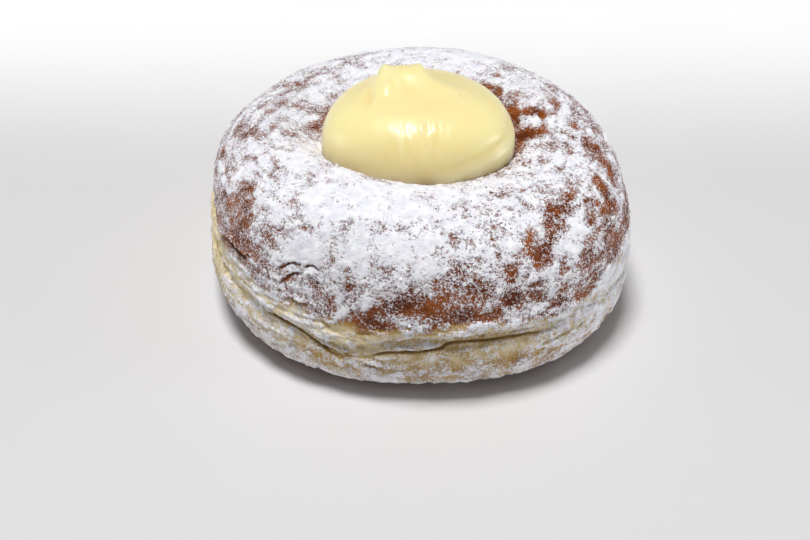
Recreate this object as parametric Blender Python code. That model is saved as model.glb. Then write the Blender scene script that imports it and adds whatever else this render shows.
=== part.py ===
# Cream-topped sugared doughnut: a thick fried ring of yeast dough, with a mound of custard cream in its well.
# Units are metres, +Z is up, and the origin is under the middle of the doughnut, on what it rests on.
# Directions round the doughnut are in degrees from +X, anticlockwise seen from above; -90 is the front.

import math

import bmesh
import bpy
from mathutils import Vector, noise

MM = 0.001

# Dough: the driving sizes
OUTER_RADIUS = 47.5 * MM
CREST_RADIUS = 29.5 * MM
CREST_HEIGHT = 42.1 * MM
WAIST_HEIGHT = 15.0 * MM
WELL_RADIUS = 14.0 * MM
WELL_FLOOR_HEIGHT = 27.0 * MM
LOWER_POWER = 3.0
UPPER_POWER = 2.85
INNER_POWER = 2.1

# The well is a little off the middle, and narrower from front to back, by this share of its width.
# Its widest line also bows towards the front, so its front is the shallower half.
WELL_CENTRE = Vector((1.0 * MM, -2.6 * MM, 0.0))
WELL_SQUASH = 0.16
WELL_BOW = 3.1 * MM
WELL_LEVEL_RADIUS = 20.0 * MM

# Dough: how many rows each stretch of the side has
STEPS_ROUND_DOUGH = 104
BASE_STEPS = 3
LOWER_STEPS = 8
UPPER_STEPS = 18
INNER_STEPS = 8
FLOOR_STEPS = 2
ROW_CROWDING = 1.4

# Unevenness of the dough: waves round the ring, amount and the direction of one of the wave's tops
REACH_WAVES = {2: (2.3 * MM, -46.0), 3: (1.3 * MM, -17.0)}
CREST_WAVES = {1: (1.8 * MM, -84.0), 2: (2.1 * MM, 43.0)}
SKIRT_WAVES = {1: (0.6 * MM, -135.0), 3: (0.7 * MM, -155.0)}
SKIRT_FOOT = 3.0 * MM
SKIRT_TOP = (8.0 * MM, 19.0 * MM)
LUMP_DEPTH = 0.55 * MM
LUMP_LENGTH = 17.0 * MM
EVEN_FOOT = 5.0 * MM

# The crease that runs round the waist, where the top half of the dough laps over the bottom half.
# Each knot is a direction, the height there, and the depth there.
CREASE_KNOTS = (
    (-180.0, 17.5 * MM, 1.4 * MM),
    (-154.0, 17.6 * MM, 0.5 * MM),
    (-141.0, 16.6 * MM, 1.6 * MM),
    (-125.0, 16.0 * MM, 1.9 * MM),
    (-110.0, 13.9 * MM, 1.5 * MM),
    (-90.0, 18.2 * MM, 2.4 * MM),
    (-72.0, 18.5 * MM, 2.5 * MM),
    (-53.0, 17.8 * MM, 1.8 * MM),
    (-38.0, 16.6 * MM, 0.3 * MM),
    (-10.0, 15.6 * MM, 0.5 * MM),
    (25.0, 17.2 * MM, 1.7 * MM),
    (66.0, 15.4 * MM, 0.6 * MM),
    (95.0, 16.8 * MM, 1.9 * MM),
    (140.0, 15.2 * MM, 1.7 * MM),
    (180.0, 17.5 * MM, 1.4 * MM),
)
CREASE_HALF_WIDTH = 1.2 * MM
CREASE_LIP = 0.3

# The tear at the left: the top crust stands proud there, above a bare hollow
TEAR_DIRECTION = 181.0
TEAR_SPREAD = 25.0
TEAR_HEIGHT = 31.5 * MM
TEAR_FALL = 5.5 * MM
TEAR_DEPTH = 1.9 * MM
TEAR_REACH = 5.0 * MM
TEAR_EDGE = 2.6 * MM

# Cream: a mound on a plug that fills the well. It meets the dough's slope at the seat and overhangs it a little.
CREAM_RADIUS = 21.3 * MM
CREAM_SEAT_RADIUS = 20.4 * MM
CREAM_BELLY_HEIGHT = 40.9 * MM
CREAM_TOP_HEIGHT = 53.1 * MM
CREAM_GAP = 0.45 * MM
CREAM_POWER = 2.8
STEPS_ROUND_CREAM = 72
PLUG_STEPS = 4
BELLY_STEPS = 2
DOME_STEPS = 22
DOME_CROWDING = 1.4
TURNED_AXIS = (0.0, 0.0, 1.0)

# The tail that the piping nozzle leaves on top: a ridge between two tips, gentle in front and steep behind.
# Its ends are steep too, and each spreads out towards the front, the right one the more.
TAIL_LEFT_TIP = Vector((-7.1 * MM, 2.4 * MM, 0.0))
TAIL_RIGHT_TIP = Vector((1.6 * MM, 2.8 * MM, 0.0))
TAIL_RISE = 3.7 * MM
TAIL_TIP_RISE = (1.3 * MM, 0.7 * MM)
TAIL_TIP_RADIUS = 1.5 * MM
TAIL_END_FALL = 0.85 * MM
TAIL_LEFT_SPREAD = 0.35
TAIL_RIGHT_SPREAD = 1.0
TAIL_FRONT_FALL = 7.5 * MM
TAIL_BACK_FALL = 2.2 * MM

# The fold low on the front and right of the cream, where its last turn laps the one below
FOLD_TURN = (-86.0, 10.0)
FOLD_RISE = (0.13, 0.56)
FOLD_DEPTH = 0.7 * MM
FOLD_SHARPNESS = 0.085
FOLD_LIP = 0.3 * MM

DOUGH_COLOUR = (0.62, 0.44, 0.24, 1.0)
CREAM_COLOUR = (0.95, 0.83, 0.45, 1.0)


def smooth_step(low, high, value):
    share = min(1.0, max(0.0, (value - low) / (high - low)))
    return share * share * (3.0 - 2.0 * share)


def turn_between(direction, other):
    """Degrees from other to direction, the short way, from -180 to 180."""
    return (direction - other + 180.0) % 360.0 - 180.0


def wave_sum(waves, direction):
    return sum(
        amount * math.cos(count * math.radians(direction - top))
        for count, (amount, top) in waves.items()
    )


def superellipse(centre, half_width, half_height, angle, power):
    """A point (radius, height) of a rounded quarter outline, at an angle in degrees from its widest point."""
    across, up = math.cos(math.radians(angle)), math.sin(math.radians(angle))
    stretch = (abs(across) ** power + abs(up) ** power) ** (-1.0 / power)
    return centre[0] + half_width * across * stretch, centre[1] + half_height * up * stretch


def between_knots(direction):
    """Height and depth of the crease at a direction, eased from one knot to the next."""
    turn = turn_between(direction, 0.0)
    for before, after in zip(CREASE_KNOTS, CREASE_KNOTS[1:]):
        if turn <= after[0]:
            share = smooth_step(before[0], after[0], turn)
            height = before[1] + (after[1] - before[1]) * share
            depth = before[2] + (after[2] - before[2]) * share
            return height, depth
    return CREASE_KNOTS[-1][1:]


def well_place(point):
    """Squashes the well and what is in it from front to back, bows it, and moves it off the middle."""
    share = 1.0 - smooth_step(CREAM_RADIUS, 1.6 * CREAM_RADIUS, math.hypot(point.x, point.y))
    bow = WELL_BOW * max(0.0, 1.0 - (point.y / CREAM_RADIUS) ** 2) ** 2
    squashed = Vector((point.x, point.y - (point.y * WELL_SQUASH + bow) * share, point.z))
    return squashed + WELL_CENTRE * share


def dough_profile():
    """The turned outline of the dough, from the middle of its base, round the outside, to the middle of the well."""
    outline = [(CREST_RADIUS * step / BASE_STEPS, 0.0) for step in range(BASE_STEPS)]
    waist = (CREST_RADIUS, WAIST_HEIGHT)
    reach = OUTER_RADIUS - CREST_RADIUS
    # The rows crowd towards the waist, where the crease is.
    for step in range(LOWER_STEPS):
        angle = -90.0 * (1.0 - step / LOWER_STEPS) ** ROW_CROWDING
        outline.append(superellipse(waist, reach, WAIST_HEIGHT, angle, LOWER_POWER))
    for step in range(UPPER_STEPS):
        angle = 90.0 * (step / UPPER_STEPS) ** ROW_CROWDING
        outline.append(superellipse(waist, reach, CREST_HEIGHT - WAIST_HEIGHT, angle, UPPER_POWER))
    floor = (CREST_RADIUS, WELL_FLOOR_HEIGHT)
    for step in range(INNER_STEPS):
        angle = 90.0 + 90.0 * step / INNER_STEPS
        outline.append(
            superellipse(
                floor, CREST_RADIUS - WELL_RADIUS, CREST_HEIGHT - WELL_FLOOR_HEIGHT, angle, INNER_POWER
            )
        )
    for step in range(FLOOR_STEPS + 1):
        outline.append((WELL_RADIUS * (1.0 - step / FLOOR_STEPS), WELL_FLOOR_HEIGHT))
    return outline


def crease_cut(above, depth):
    """How far the crease pulls the side in at a height above its line, less the lip that it pushes out."""
    off = above / CREASE_HALF_WIDTH
    lip = CREASE_LIP * math.exp(-((off - 2.2) ** 2) / 2.0)
    return depth * (math.exp(-off * off) - lip)


def tear_cut(direction, height):
    """How far the side is sunk below the torn edge of the top crust."""
    turn = turn_between(direction, TEAR_DIRECTION)
    fade = math.exp(-((turn / TEAR_SPREAD) ** 2))
    edge = TEAR_HEIGHT - TEAR_FALL * smooth_step(0.0, TEAR_SPREAD, turn)
    below = edge - height
    hollow = smooth_step(0.0, TEAR_EDGE, below) * (1.0 - smooth_step(TEAR_REACH, 2.5 * TEAR_REACH, below))
    return fade * TEAR_DEPTH * hollow


def dough_height(point, radius, direction, crease_height):
    """Height of a point after the crest's waves and the crease's rise and fall."""
    top = smooth_step(WAIST_HEIGHT, CREST_HEIGHT, point.z)
    crown = top * smooth_step(WELL_LEVEL_RADIUS, CREST_RADIUS, radius)
    side = (1.0 - top) * smooth_step(0.0, WAIST_HEIGHT, point.z) * smooth_step(WELL_RADIUS, OUTER_RADIUS, radius)
    return point.z + crown * wave_sum(CREST_WAVES, direction) + side * (crease_height - WAIST_HEIGHT)


def dough_reach(point, radius, direction, height, crease_depth):
    """Radius of a point after the ring's waves, the skirt, the crease and the tear."""
    outside = smooth_step(WELL_RADIUS, OUTER_RADIUS, radius)
    skirt = smooth_step(0.0, SKIRT_FOOT, point.z) * (1.0 - smooth_step(*SKIRT_TOP, point.z))
    reach = radius + outside * (wave_sum(REACH_WAVES, direction) + skirt * wave_sum(SKIRT_WAVES, direction))
    flank = smooth_step(CREST_RADIUS, OUTER_RADIUS, reach) * smooth_step(0.0, EVEN_FOOT, point.z)
    return reach - flank * (crease_cut(point.z - WAIST_HEIGHT, crease_depth) + tear_cut(direction, height))


def dough_lump(placed, direction, outside):
    """A gentle, uneven swelling along the outward direction, which fades in the well and at the foot."""
    amount = LUMP_DEPTH * noise.noise(placed / LUMP_LENGTH) * smooth_step(0.0, EVEN_FOOT, placed.z) * outside
    upward = smooth_step(WAIST_HEIGHT, CREST_HEIGHT, placed.z)
    angle = math.radians(direction)
    return Vector((math.cos(angle) * outside, math.sin(angle) * outside, upward)).normalized() * amount


def shape_dough(point):
    """Moves a point of the turned dough to where the real, uneven dough has it."""
    radius = math.hypot(point.x, point.y)
    direction = math.degrees(math.atan2(point.y, point.x))
    crease_height, crease_depth = between_knots(direction)
    height = dough_height(point, radius, direction, crease_height)
    reach = dough_reach(point, radius, direction, height, crease_depth)
    angle = math.radians(direction)
    placed = Vector((reach * math.cos(angle), reach * math.sin(angle), height))
    placed += dough_lump(placed, direction, smooth_step(WELL_RADIUS, OUTER_RADIUS, radius))
    return well_place(placed) if point.z > WAIST_HEIGHT else placed


def cream_profile():
    """The turned outline of the cream, from the middle of its plug's base, up the well and over the dome."""
    floor = (CREST_RADIUS, WELL_FLOOR_HEIGHT)
    well_reach = CREST_RADIUS - WELL_RADIUS
    well_depth = CREST_HEIGHT - WELL_FLOOR_HEIGHT
    seat_angle = 180.0 - math.degrees(math.acos((CREST_RADIUS - CREAM_SEAT_RADIUS) / well_reach))
    base_height = WELL_FLOOR_HEIGHT + CREAM_GAP
    outline = [(0.0, base_height), (0.5 * WELL_RADIUS, base_height)]
    for step in range(PLUG_STEPS + 1):
        angle = 180.0 + (seat_angle - 180.0) * step / PLUG_STEPS
        radius, height = superellipse(floor, well_reach, well_depth, angle, INNER_POWER)
        outline.append((radius - CREAM_GAP, height + CREAM_GAP))
    seat_radius, seat_height = outline[-1]
    for step in range(1, BELLY_STEPS + 1):
        share = step / (BELLY_STEPS + 1)
        bulge = math.sin(math.radians(90.0 * share))
        radius = seat_radius + (CREAM_RADIUS - seat_radius) * bulge
        outline.append((radius, seat_height + (CREAM_BELLY_HEIGHT - seat_height) * share))
    belly = (0.0, CREAM_BELLY_HEIGHT)
    # The rows crowd towards the top, where the tail is.
    for step in range(DOME_STEPS):
        angle = 90.0 * (1.0 - (1.0 - step / DOME_STEPS) ** DOME_CROWDING)
        outline.append(
            superellipse(belly, CREAM_RADIUS, CREAM_TOP_HEIGHT - CREAM_BELLY_HEIGHT, angle, CREAM_POWER)
        )
    outline.append((0.0, CREAM_TOP_HEIGHT))
    return outline


def tail_rise(place):
    """Height that the nozzle's tail adds at a place on top of the cream."""
    flat = Vector((place.x, place.y, 0.0))
    ridge = TAIL_RIGHT_TIP - TAIL_LEFT_TIP
    along = (flat - TAIL_LEFT_TIP).dot(ridge.normalized())
    past = max(0.0, -along, along - ridge.length)
    across = (flat - TAIL_LEFT_TIP).dot(Vector((-ridge.y, ridge.x, 0.0)).normalized())
    fall = TAIL_BACK_FALL if across > 0.0 else TAIL_FRONT_FALL
    spread = TAIL_LEFT_SPREAD if along < 0.0 else TAIL_RIGHT_SPREAD
    end_fall = TAIL_END_FALL + spread * max(0.0, -across)
    wall = TAIL_RISE * math.exp(-((across / fall) ** 2)) * math.exp(-((past / end_fall) ** 2))
    tips = sum(
        rise * math.exp(-(((flat - tip).length / TAIL_TIP_RADIUS) ** 2))
        for tip, rise in zip((TAIL_LEFT_TIP, TAIL_RIGHT_TIP), TAIL_TIP_RISE)
    )
    return wall + tips


def fold_cut(direction, rise):
    """How far the cream is sunk along its fold; rise is the share of the dome's height."""
    start, end = FOLD_TURN
    turn = turn_between(direction, start)
    if not 0.0 <= turn <= end - start:
        return 0.0
    share = turn / (end - start)
    line = FOLD_RISE[0] + (FOLD_RISE[1] - FOLD_RISE[0]) * share
    fade = smooth_step(0.0, 0.15, share) * (1.0 - smooth_step(0.8, 1.0, share))
    off = (rise - line) / FOLD_SHARPNESS
    lip = FOLD_LIP * math.exp(-((off + 2.2) ** 2) / 3.0)
    return fade * (FOLD_DEPTH * math.exp(-off * off) - lip)


def shape_cream(point):
    """Gives the turned cream its tail and its fold, and sets it in the well."""
    placed = well_place(point)
    dome = smooth_step(CREAM_BELLY_HEIGHT - 2.0 * MM, CREAM_BELLY_HEIGHT, point.z)
    rise = (point.z - CREAM_BELLY_HEIGHT) / (CREAM_TOP_HEIGHT - CREAM_BELLY_HEIGHT)
    sunk = dome * fold_cut(math.degrees(math.atan2(point.y, point.x)), rise)
    inward = Vector((-point.x, -point.y, -0.4 * CREAM_RADIUS)).normalized()
    return placed + inward * sunk + Vector((0.0, 0.0, dome * tail_rise(placed)))


def turned_mesh(name, outline, steps, shape):
    """Spins an outline of (radius, height) points round the upright axis, then moves each point by shape."""
    form = bmesh.new()
    corners = [form.verts.new((radius, 0.0, height)) for radius, height in outline]
    edges = [form.edges.new(pair) for pair in zip(corners, corners[1:])]
    bmesh.ops.spin(
        form,
        geom=corners + edges,
        cent=(0.0, 0.0, 0.0),
        axis=TURNED_AXIS,
        angle=2.0 * math.pi,
        steps=steps,
        use_merge=True,
    )
    bmesh.ops.remove_doubles(form, verts=form.verts, dist=0.01 * MM)
    for corner in form.verts:
        corner.co = shape(corner.co)
    bmesh.ops.recalc_face_normals(form, faces=form.faces)
    mesh = bpy.data.meshes.new(name)
    form.to_mesh(mesh)
    form.free()
    mesh.shade_smooth()
    return mesh


def finish_of(name, colour, roughness):
    material = bpy.data.materials.new(name)
    material.use_nodes = True
    shader = material.node_tree.nodes["Principled BSDF"]
    shader.inputs["Base Color"].default_value = colour
    shader.inputs["Roughness"].default_value = roughness
    shader.inputs["Metallic"].default_value = 0.0
    return material


def add_piece(name, mesh, material):
    piece = bpy.data.objects.new(name, mesh)
    mesh.materials.append(material)
    bpy.context.scene.collection.objects.link(piece)
    return piece


def make_dough():
    mesh = turned_mesh("dough", dough_profile(), STEPS_ROUND_DOUGH, shape_dough)
    return add_piece("dough", mesh, finish_of("fried_dough", DOUGH_COLOUR, 0.7))


def make_cream():
    mesh = turned_mesh("custard_cream", cream_profile(), STEPS_ROUND_CREAM, shape_cream)
    return add_piece("custard_cream", mesh, finish_of("custard_cream", CREAM_COLOUR, 0.4))


def rest_on_origin(pieces):
    """Moves the pieces together, so that the origin is under the middle of their box, at its bottom."""
    corners = [corner.co for piece in pieces for corner in piece.data.vertices]
    low = Vector(min(corner[axis] for corner in corners) for axis in range(3))
    high = Vector(max(corner[axis] for corner in corners) for axis in range(3))
    middle = (low + high) / 2.0
    for piece in pieces:
        piece.location = (-middle.x, -middle.y, -low.z)


def main():
    for leftover in list(bpy.data.objects):
        bpy.data.objects.remove(leftover, do_unlink=True)
    rest_on_origin([make_dough(), make_cream()])


main()
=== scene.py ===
# Cream-topped sugared doughnut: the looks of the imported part.
# Lengths are in metres. Directions round the doughnut are in degrees from +X, and its front is at -90.
import math

import bmesh
import bpy
import numpy as np
from mathutils import Matrix, Vector, noise
from mathutils.bvhtree import BVHTree


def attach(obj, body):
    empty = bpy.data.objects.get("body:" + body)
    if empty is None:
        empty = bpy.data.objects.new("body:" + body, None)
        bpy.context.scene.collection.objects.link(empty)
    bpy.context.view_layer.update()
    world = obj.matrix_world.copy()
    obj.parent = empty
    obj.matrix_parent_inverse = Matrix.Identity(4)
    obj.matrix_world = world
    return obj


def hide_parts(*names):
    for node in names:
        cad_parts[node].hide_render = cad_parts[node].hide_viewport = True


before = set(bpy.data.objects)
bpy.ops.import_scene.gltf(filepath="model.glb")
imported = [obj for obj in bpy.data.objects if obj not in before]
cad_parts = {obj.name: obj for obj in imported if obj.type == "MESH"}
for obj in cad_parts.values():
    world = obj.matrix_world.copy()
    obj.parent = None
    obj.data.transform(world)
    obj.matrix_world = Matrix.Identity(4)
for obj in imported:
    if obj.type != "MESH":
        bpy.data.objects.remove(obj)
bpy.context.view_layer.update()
mm = 0.001

# The photograph's view. Places given as its pixels are looked up through this camera.
view = {
    "place": Vector((-2.72, -303.5, 238.4)) * mm,
    "pitch": math.radians(51.9),
    "lens": 71.7,
    "sensor": 36.0,
    "pixels": (810, 540),
}


def makeCamera():
    data = bpy.data.cameras.new("photoView")
    data.lens = view["lens"]
    data.sensor_width = view["sensor"]
    data.clip_start = 0.01
    camera = bpy.data.objects.new("photoView", data)
    camera.location = view["place"]
    camera.rotation_euler = (view["pitch"], 0.0, 0.0)
    bpy.context.scene.collection.objects.link(camera)
    bpy.context.scene.camera = camera


def sightThrough(pixel):
    wide, high = view["pixels"]
    step = view["sensor"] / wide
    sight = Vector(((pixel[0] - wide / 2) * step, (high / 2 - pixel[1]) * step, -view["lens"]))
    return (Matrix.Rotation(view["pitch"], 3, "X") @ sight).normalized()


def findLine(surface, pixels):
    found = [surface.ray_cast(view["place"], sightThrough(pixel))[0] for pixel in pixels]
    return smoothLine(np.array([tuple(place) for place in found if place is not None]))


# Node helpers, for shader trees and geometry trees alike
def addNode(tree, kind, inputs=(), **settings):
    made = tree.nodes.new(kind)
    for name, value in settings.items():
        setattr(made, name, value)
    for name, value in dict(inputs).items():
        if isinstance(value, bpy.types.NodeSocket):
            tree.links.new(value, made.inputs[name])
        else:
            made.inputs[name].default_value = value
    return made


def calc(tree, operation, *values):
    return addNode(tree, "ShaderNodeMath", dict(enumerate(values)), operation=operation).outputs[0]


def easeRange(tree, value, low, high, toLow=0.0, toHigh=1.0):
    inputs = {"Value": value, "From Min": low, "From Max": high, "To Min": toLow, "To Max": toHigh}
    return addNode(tree, "ShaderNodeMapRange", inputs, interpolation_type="SMOOTHSTEP").outputs[0]


def noiseOf(tree, place, size, detail=2.0, roughness=0.5):
    scale = calc(tree, "DIVIDE", 1.0, size)
    inputs = {"Vector": place, "Scale": scale, "Detail": detail, "Roughness": roughness}
    return addNode(tree, "ShaderNodeTexNoise", inputs).outputs[0]


def blend(tree, share, first, second):
    inputs = {0: share, 6: first, 7: second}  # the Mix node keeps its colours in sockets 6 and 7
    return addNode(tree, "ShaderNodeMix", inputs, data_type="RGBA").outputs[2]


def scaled(tree, vector, size):
    return addNode(tree, "ShaderNodeVectorMath", {0: vector, "Scale": size}, operation="SCALE").outputs[0]


def readNamed(tree, name):
    inputs = {"Name": name}
    return addNode(tree, "GeometryNodeInputNamedAttribute", inputs, data_type="FLOAT").outputs[0]


def moveBy(tree, geometry, offset):
    return addNode(tree, "GeometryNodeSetPosition", {"Geometry": geometry, "Offset": offset}).outputs[0]


def endTree(tree, end, geometry, finish):
    # Every tree ends as plain faces with their material.
    real = addNode(tree, "GeometryNodeRealizeInstances", {"Geometry": geometry}).outputs[0]
    dressed = addNode(tree, "GeometryNodeSetMaterial", {"Geometry": real, "Material": finish}).outputs[0]
    tree.links.new(dressed, end.inputs["Geometry"])


def newTree(name, kind, inputs, outputs):
    tree = bpy.data.node_groups.new(name, kind)
    for socket, socketKind, value in inputs:
        made = tree.interface.new_socket(name=socket, in_out="INPUT", socket_type=socketKind)
        if value is not None:
            made.default_value = value
    for socket, socketKind in outputs:
        tree.interface.new_socket(name=socket, in_out="OUTPUT", socket_type=socketKind)
    return tree, tree.nodes.new("NodeGroupInput").outputs, tree.nodes.new("NodeGroupOutput")


def placeGroup(tree, group, inputs):
    return addNode(tree, "ShaderNodeGroup", inputs, node_tree=group).outputs


# Shader groups that several finishes share
powder = {"fineRoughness": 0.85, "coarserBy": 1.9, "coarseHeight": 1.5}
drift = {"detail": 3.0, "roughness": 0.55, "range": (0.34, 0.66)}


def makePowderGrain():
    # Fine and coarse grain of powdered sugar, and the height of both together
    tree, given, end = newTree(
        "powderGrain",
        "ShaderNodeTree",
        [("Place", "NodeSocketVector", None), ("Size", "NodeSocketFloat", 0.5 * mm)],
        [("Fine", "NodeSocketFloat"), ("Coarse", "NodeSocketFloat"), ("Height", "NodeSocketFloat")],
    )
    fine = noiseOf(tree, given["Place"], given["Size"], 1.0, powder["fineRoughness"])
    coarseSize = calc(tree, "MULTIPLY", given["Size"], powder["coarserBy"])
    coarse = noiseOf(tree, given["Place"], coarseSize, 0.0)
    height = calc(tree, "MULTIPLY_ADD", coarse, powder["coarseHeight"], fine)
    for name, value in (("Fine", fine), ("Coarse", coarse), ("Height", height)):
        tree.links.new(value, end.inputs[name])
    return tree


def makeMottle():
    # Two colours that drift into each other over a surface
    tree, given, end = newTree(
        "mottle",
        "ShaderNodeTree",
        [
            ("Place", "NodeSocketVector", None),
            ("Size", "NodeSocketFloat", 4.0 * mm),
            ("First", "NodeSocketColor", None),
            ("Second", "NodeSocketColor", None),
        ],
        [("Colour", "NodeSocketColor")],
    )
    wave = noiseOf(tree, given["Place"], given["Size"], drift["detail"], drift["roughness"])
    share = easeRange(tree, wave, *drift["range"])
    tree.links.new(blend(tree, share, given["First"], given["Second"]), end.inputs["Colour"])
    return tree


powderGrain = makePowderGrain()
mottle = makeMottle()


def newFinish(name):
    finish = bpy.data.materials.new(name)
    finish.use_nodes = True
    tree = finish.node_tree
    place = addNode(tree, "ShaderNodeTexCoord").outputs["Object"]
    return finish, tree, tree.nodes["Principled BSDF"], place


def setSockets(shader, values):
    for name, value in values.items():
        shader.inputs[name].default_value = value


def feed(tree, shader, values):
    for name, value in values.items():
        tree.links.new(value, shader.inputs[name])


def readMask(tree, name):
    return addNode(tree, "ShaderNodeAttribute", attribute_name=name).outputs["Fac"]


def mottled(tree, place, size, first, second):
    inputs = {"Place": place, "Size": size, "First": first, "Second": second}
    return placeGroup(tree, mottle, inputs)["Colour"]


def dressShader(tree, shader, use, colour, level, height):
    # The colour, roughness and relief that every finish of the doughnut feeds its shader
    relief = {"Strength": use["bumpStrength"], "Distance": use["bumpHeight"], "Height": height}
    bump = addNode(tree, "ShaderNodeBump", relief).outputs["Normal"]
    roughness = easeRange(tree, level, *use["roughnessRange"])
    feed(tree, shader, {"Base Color": colour, "Roughness": roughness, "Normal": bump})
    setSockets(shader, use["shader"])


# Fried dough under powdered sugar
doughFinish = {
    "crustDark": (0.100, 0.022, 0.005, 1.0),
    "crustLight": (0.285, 0.076, 0.011, 1.0),
    "golden": (0.440, 0.270, 0.080, 1.0),
    "pale": (0.860, 0.740, 0.480, 1.0),
    "paleShade": (0.560, 0.430, 0.215, 1.0),
    # Partly brown crust and partly painted shade, darkening the scored lines and the crease
    "crease": (0.110, 0.052, 0.014, 1.0),
    "haze": (0.480, 0.375, 0.370, 1.0),
    "paleHaze": (0.760, 0.690, 0.585, 1.0),
    # Painted shade: grey for the shadowed pits between grains where sugar lies thick on the crust
    "pitShade": (0.190, 0.155, 0.165, 1.0),
    "sugar": (0.930, 0.930, 0.965, 1.0),
    # Painted shade: sugar as it looks in shade, mottled in at random for the shade of its lumps
    "sugarShade": (0.790, 0.785, 0.850, 1.0),
    "grainSize": 0.38 * mm,
    "crustMottle": 5.0 * mm,
    "paleMottle": 2.0 * mm,
    "sugarMottle": 1.8 * mm,
    "fineShare": 2.3,
    "coarseShare": 1.1,
    # Where each look starts and is full, and the least and most of it
    "goldenRange": (0.05, 0.5),
    "crustRange": (0.45, 0.85),
    "hazeRange": (0.08, 0.66, 0.0, 0.95),
    "brownHazeRange": (0.2, 0.75),
    "pitShadeRange": (0.35, 1.05, 0.0, 0.85),
    "whiteRange": (0.38, 1.0),
    "roughnessRange": (0.2, 0.6, 0.45, 0.92),
    "grainRelief": 0.45,
    "sugarRelief": 0.8,
    "bumpStrength": 0.75,
    "bumpHeight": 0.26 * mm,
    "shader": {"Specular IOR Level": 0.10, "Subsurface Weight": 0.10, "Subsurface Scale": 0.6 * mm},
}


def makeDoughFinish():
    use = doughFinish
    finish, tree, shader, place = newFinish("sugaredDough")
    crustShare = readMask(tree, "crust")
    grain = placeGroup(tree, powderGrain, {"Place": place, "Size": use["grainSize"]})

    crust = mottled(tree, place, use["crustMottle"], use["crustDark"], use["crustLight"])
    pale = mottled(tree, place, use["paleMottle"], use["paleShade"], use["pale"])
    base = blend(tree, easeRange(tree, crustShare, *use["goldenRange"]), pale, use["golden"])
    base = blend(tree, easeRange(tree, crustShare, *use["crustRange"]), base, crust)
    # The scored lines and the crease darken: partly brown crust, partly painted shade
    base = blend(tree, readMask(tree, "hollow"), base, use["crease"])

    fine = calc(tree, "MULTIPLY", calc(tree, "SUBTRACT", grain["Fine"], 0.5), use["fineShare"])
    coarse = calc(tree, "MULTIPLY", calc(tree, "SUBTRACT", grain["Coarse"], 0.5), use["coarseShare"])
    speckle = calc(tree, "MULTIPLY", calc(tree, "ADD", fine, coarse), readMask(tree, "patchy"))
    thick = readMask(tree, "sugar")
    level = calc(tree, "ADD", thick, speckle)
    haze = easeRange(tree, level, *use["hazeRange"])
    brownShare = easeRange(tree, crustShare, *use["brownHazeRange"])
    hazeColour = blend(tree, brownShare, use["paleHaze"], use["haze"])
    # Painted shade: the base turns grey where thick sugar lies on the crust
    pitShade = easeRange(tree, calc(tree, "MULTIPLY", thick, crustShare), *use["pitShadeRange"])
    white = easeRange(tree, level, *use["whiteRange"])
    # The sugar's mottle mixes in painted shade
    sugar = mottled(tree, place, use["sugarMottle"], use["sugarShade"], use["sugar"])
    colour = blend(tree, haze, blend(tree, pitShade, base, use["pitShade"]), hazeColour)
    colour = blend(tree, white, colour, sugar)

    caked = calc(tree, "MULTIPLY", white, use["sugarRelief"])
    height = calc(tree, "MULTIPLY_ADD", grain["Height"], use["grainRelief"], caked)
    dressShader(tree, shader, use, colour, level, height)
    return finish


# Powdered sugar in grains and clumps
sugarFinish = {
    # Bright and shade are a lit and a painted-shade copy of the sugar, mottled in at random
    "bright": (0.900, 0.905, 0.935, 1.0),
    "shade": (0.790, 0.790, 0.830, 1.0),
    "mottleSize": 1.5 * mm,
    "grainSize": 0.35 * mm,
    "roughnessRange": (0.3, 0.7, 0.8, 0.95),
    "bumpStrength": 0.6,
    "bumpHeight": 0.10 * mm,
    "shader": {"Specular IOR Level": 0.3, "Subsurface Weight": 0.2, "Subsurface Scale": 0.5 * mm},
}


def makeSugarFinish():
    use = sugarFinish
    finish, tree, shader, place = newFinish("powderedSugar")
    grain = placeGroup(tree, powderGrain, {"Place": place, "Size": use["grainSize"]})
    # The mottle mixes in painted shade
    colour = mottled(tree, place, use["mottleSize"], use["shade"], use["bright"])
    dressShader(tree, shader, use, colour, grain["Fine"], grain["Height"])
    return finish


# Custard cream
creamFinish = {
    "bright": (0.990, 0.790, 0.415, 1.0),
    "deep": (0.985, 0.760, 0.385, 1.0),
    "mottleSize": 9.0 * mm,
    "rippleSize": 1.3 * mm,
    "rippleDetail": 2.0,
    "rippleRoughness": 0.45,
    "roughnessRange": (0.3, 0.7, 0.30, 0.42),
    "bumpStrength": 0.5,
    "bumpHeight": 0.035 * mm,
    "shader": {
        "Specular IOR Level": 0.45,
        "Coat Weight": 0.15,
        "Coat Roughness": 0.20,
        "Subsurface Weight": 0.95,
        "Subsurface Radius": (1.0, 0.85, 0.45),
        "Subsurface Scale": 12.0 * mm,
    },
}


def makeCreamFinish():
    use = creamFinish
    finish, tree, shader, place = newFinish("custardCream")
    colour = mottled(tree, place, use["mottleSize"], use["deep"], use["bright"])
    ripple = noiseOf(tree, place, use["rippleSize"], use["rippleDetail"], use["rippleRoughness"])
    dressShader(tree, shader, use, colour, ripple, ripple)
    return finish


# Mesh helpers
refining = {
    "mergeWithin": 0.01 * mm,
    "pairing": {
        "angle_face_threshold": math.radians(60.0),
        "angle_shape_threshold": math.radians(80.0),
    },
}


def addObject(name, mesh):
    made = bpy.data.objects.new(name, mesh)
    bpy.context.scene.collection.objects.link(made)
    return made


def plainMesh(piece):
    # Keeps what the piece's modifiers make, and takes the modifiers off.
    bpy.context.view_layer.update()
    shown = piece.evaluated_get(bpy.context.evaluated_depsgraph_get())
    mesh = bpy.data.meshes.new_from_object(shown)
    piece.modifiers.clear()
    piece.data = mesh
    mesh.name = piece.name
    return mesh


def runTree(piece, tree, values):
    modifier = piece.modifiers.new(tree.name, "NODES")
    modifier.node_group = tree
    for item in tree.interface.items_tree:
        if item.in_out == "INPUT" and item.name in values:
            modifier[item.identifier] = values[item.name]
    return plainMesh(piece)


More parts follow.
